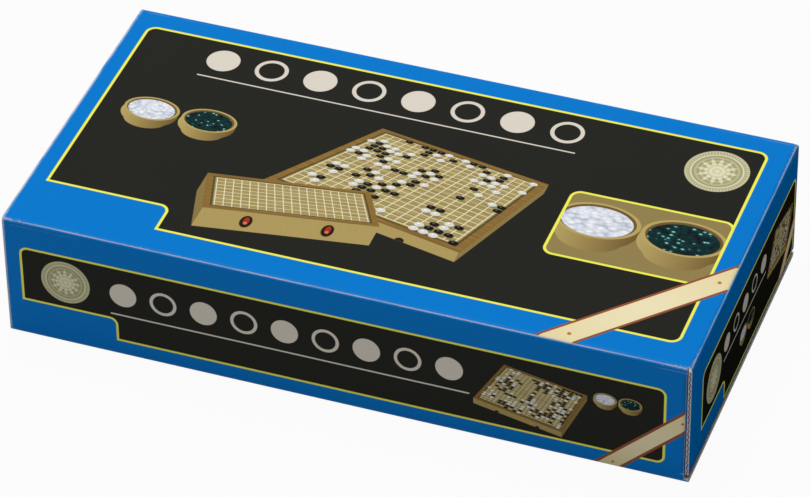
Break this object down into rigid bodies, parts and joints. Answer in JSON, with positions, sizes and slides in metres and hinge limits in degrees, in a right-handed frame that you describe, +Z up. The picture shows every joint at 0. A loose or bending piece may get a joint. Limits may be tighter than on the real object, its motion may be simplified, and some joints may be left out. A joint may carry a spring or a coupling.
{
  "type": "boxed folding go board set",
  "caption": "Printed tuck-end carton of corrugated board holding a folding wooden go board case with hook latches, a lidded stone box and glass stones.",
  "frame": {"origin": "centre of the carton's underside, on the surface it stands on", "axes": "+X along the carton's length towards the closed end seen in the picture, +Y from its front to its back, +Z up"},
  "size_m": [0.325, 0.169, 0.0665],
  "materials": {
    "printed_board": "satin",
    "rail_wood": "satin",
    "playing_wood": "satin",
    "box_wood": "satin",
    "latch_brass": "satin",
    "hinge_brass": "satin",
    "steel": "satin",
    "white_glass": "gloss",
    "dark_glass": "gloss"
  },
  "bodies": {
    "go_case": {"upper_front_rail": "rail_wood", "upper_left_rail": "rail_wood", "upper_right_rail": "rail_wood", "upper_fold_rail": "rail_wood", "upper_playing_panel": "playing_wood", "upper_hinge_leaves": "hinge_brass", "lower_front_rail": "rail_wood", "lower_left_rail": "rail_wood", "lower_right_rail": "rail_wood", "lower_fold_rail": "rail_wood", "lower_playing_panel": "playing_wood", "lower_hinge_leaves": "hinge_brass", "hinge_pins": "steel", "hinge_screws": "steel", "latch_pivot_screws": "latch_brass", "latch_catch_screws": "latch_brass", "stone_tray_long_walls": "box_wood", "stone_tray_end_walls": "box_wood", "stone_tray_floor": "box_wood", "stone_tray_divider": "box_wood", "stone_lid_long_walls": "box_wood", "stone_lid_end_walls": "box_wood", "stone_lid_panel": "box_wood", "white_stones": "white_glass", "dark_stones": "dark_glass"},
    "left_hook": {"left_latch_hook": "latch_brass"},
    "right_hook": {"right_latch_hook": "latch_brass"},
    "carton": {"carton_top_panel": "printed_board", "carton_bottom_panel": "printed_board", "carton_front_panel": "printed_board", "carton_back_panel": "printed_board", "carton_glue_flap": "printed_board", "left_closure_panel": "printed_board", "left_tuck_flap": "printed_board", "left_front_dust_flap": "printed_board", "left_back_dust_flap": "printed_board"},
    "closure": {"right_closure_panel": "printed_board"},
    "tuck": {"right_tuck_flap": "printed_board"},
    "front_dust_flap": {"right_front_dust_flap": "printed_board"},
    "back_dust_flap": {"right_back_dust_flap": "printed_board"}
  },
  "joints": [
    {"name": "carton_slide", "type": "slide", "parent": "go_case", "child": "carton", "axis": [1, 0, 0], "range_m": [0, 0.335]},
    {"name": "closure_fold", "type": "hinge", "parent": "carton", "child": "closure", "pos_m": [0.1625, 0, 0.0665], "axis": [0, -1, 0], "range_deg": [0, 110]},
    {"name": "tuck_fold", "type": "hinge", "parent": "closure", "child": "tuck", "pos_m": [0.161, 0, 0.0044], "axis": [0, 1, 0], "range_deg": [0, 70]},
    {"name": "front_dust_fold", "type": "hinge", "parent": "carton", "child": "front_dust_flap", "pos_m": [0.1607, -0.0845, 0.03325], "axis": [0, 0, -1], "range_deg": [0, 60]},
    {"name": "back_dust_fold", "type": "hinge", "parent": "carton", "child": "back_dust_flap", "pos_m": [0.1607, 0.0845, 0.03325], "axis": [0, 0, 1], "range_deg": [0, 60]},
    {"name": "left_hook_swing", "type": "hinge", "parent": "go_case", "child": "left_hook", "pos_m": [-0.082, -0.079, 0.0416], "axis": [0, 1, 0], "range_deg": [0, 90]},
    {"name": "right_hook_swing", "type": "hinge", "parent": "go_case", "child": "right_hook", "pos_m": [0.082, -0.079, 0.0416], "axis": [0, 1, 0], "range_deg": [0, 90]}
  ],
  "couplings": [
    {"joint": "tuck_fold", "follows": "closure_fold", "ratio": 0.61},
    {"joint": "front_dust_fold", "follows": "closure_fold", "ratio": 0.5},
    {"joint": "back_dust_fold", "follows": "closure_fold", "ratio": 0.5}
  ]
}
